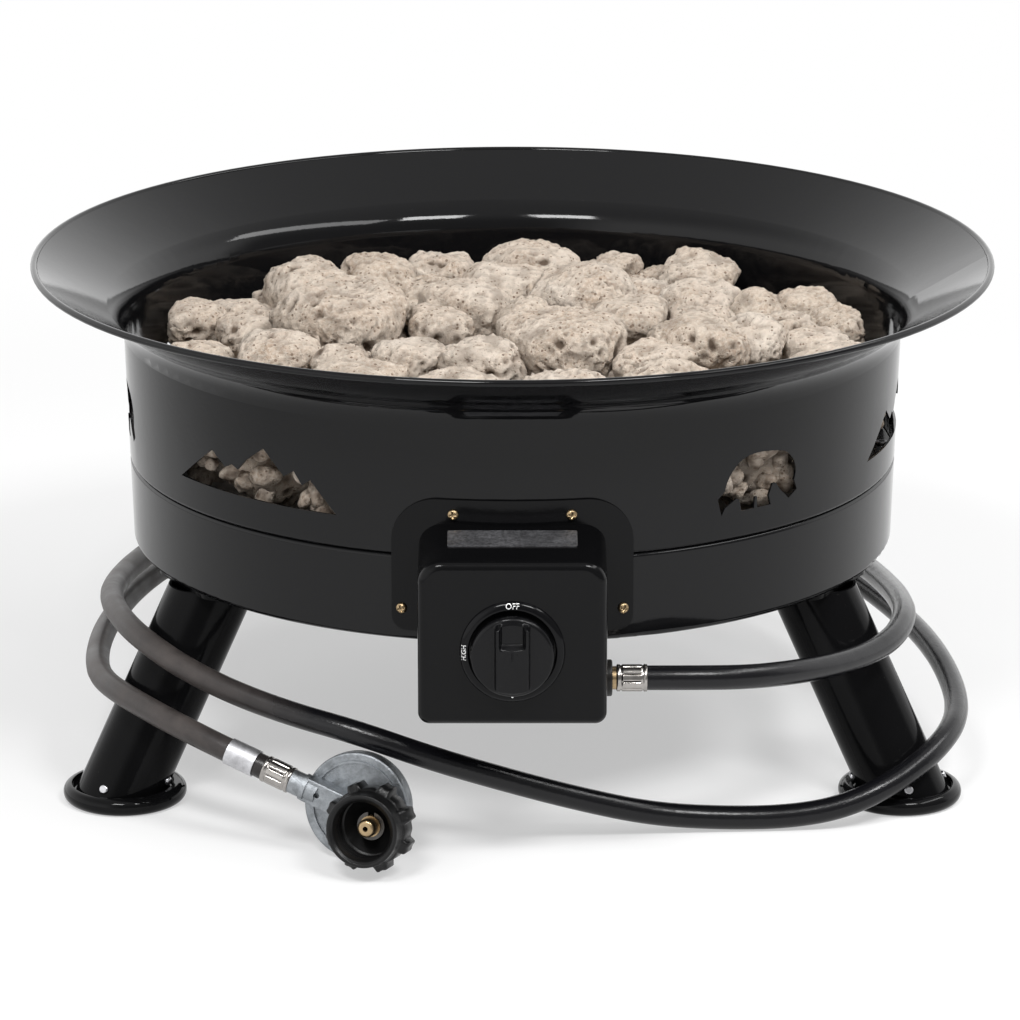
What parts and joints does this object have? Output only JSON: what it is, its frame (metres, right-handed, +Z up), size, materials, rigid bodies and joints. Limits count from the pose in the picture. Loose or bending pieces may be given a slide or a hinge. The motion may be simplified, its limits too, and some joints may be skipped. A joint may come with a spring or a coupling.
{
  "type": "portable gas fire bowl",
  "caption": "Portable gas fire bowl: flared steel bowl of pale lava rocks on three splayed tube legs, with a push-and-turn gas valve, a wrapped hose and a regulator.",
  "frame": {"origin": "on the floor under the bowl's axis, the middle of the footprint", "axes": "+Z up, -Y to the front where the knob is, +X to the right as seen from the front, the side the hose leaves from"},
  "size_m": [0.6099, 0.6366, 0.316],
  "materials": {
    "enamel": "high-gloss black enamel on pressed steel and tube",
    "box_enamel": "semi-gloss black enamel on pressed steel",
    "steel": "bare pressed steel, dulled by heat",
    "stainless": "stainless steel, slightly straw-coloured by heat",
    "screw_steel": "zinc-plated steel",
    "lava_rock": "pale pitted pumice",
    "bright_plate": "bare bright strip",
    "brass": "plain turned brass",
    "dial": null,
    "knob_plastic": "black moulded plastic, fine texture",
    "spring_steel": "spring wire",
    "valve_alloy": "die-cast alloy",
    "black_nut": "black oxide steel",
    "ferrule": "bright crimped steel",
    "hose_rubber": "black rubber with a soft sheen, a little dusty",
    "sleeve_plastic": "bare pale sleeve",
    "regulator_zinc": "matte zinc-coloured die casting",
    "diaphragm": "thin rubber sheet",
    "nut_plastic": "matte black moulded plastic"
  },
  "bodies": {
    "stand": {"base_pan": "enamel", "bonnet_screws": "screw_steel", "box_nuts": "screw_steel", "box_plate": "bright_plate", "box_screws": "brass", "burner_clips": "steel", "clip_screws": "screw_steel", "control_box": "box_enamel", "dial_bezel": "dial", "fire_bowl": "enamel", "foot_left": "enamel", "foot_rear": "enamel", "foot_right": "enamel", "foot_rivets": "brass", "gas_hose": "hose_rubber", "hose_sleeve": "sleeve_plastic", "inlet_ferrule": "ferrule", "inlet_fitting": "brass", "inlet_locknut": "black_nut", "inlet_nipple": "brass", "lava_rocks_bed": "lava_rock", "lava_rocks_top": "lava_rock", "leg_bolts": "screw_steel", "leg_left": "enamel", "leg_nuts": "screw_steel", "leg_rear": "enamel", "leg_right": "enamel", "mixer_strap": "steel", "mixer_tube": "steel", "nipple_clip": "spring_steel", "orifice": "brass", "outlet_ferrule": "ferrule", "regulator_body": "regulator_zinc", "regulator_cover": "regulator_zinc", "regulator_diaphragm": "diaphragm", "regulator_spring": "spring_steel", "ring_burner": "stainless", "rock_tray": "steel", "seam_nuts": "screw_steel", "seam_screws": "screw_steel", "strap_screws": "screw_steel", "valve_body": "valve_alloy", "valve_bonnet": "screw_steel", "valve_mount_screws": "screw_steel"},
    "valve_plug": {"valve_plug": "brass", "valve_spring": "spring_steel"},
    "knob": {"knob": "knob_plastic", "valve_stem": "brass"},
    "coupling_nut": {"coupling_nut": "nut_plastic"}
  },
  "joints": [
    {"name": "valve_turn", "type": "hinge", "parent": "stand", "child": "valve_plug", "pos_m": [0, -0.27, 0.1485], "axis": [0, -1, 0], "range_deg": [0, 180]},
    {"name": "knob_push", "type": "slide", "parent": "valve_plug", "child": "knob", "axis": [0, 1, 0], "range_m": [0, 0.0035], "stiffness_N_per_m": 900, "springref_m": -0.005, "deforming": ["valve_spring"]},
    {"name": "coupling_nut_spin", "type": "hinge", "parent": "stand", "child": "coupling_nut", "pos_m": [-0.0828, -0.2692, 0.0302], "axis": [-0.306, -0.9418, 0.1392], "continuous": true}
  ]
}
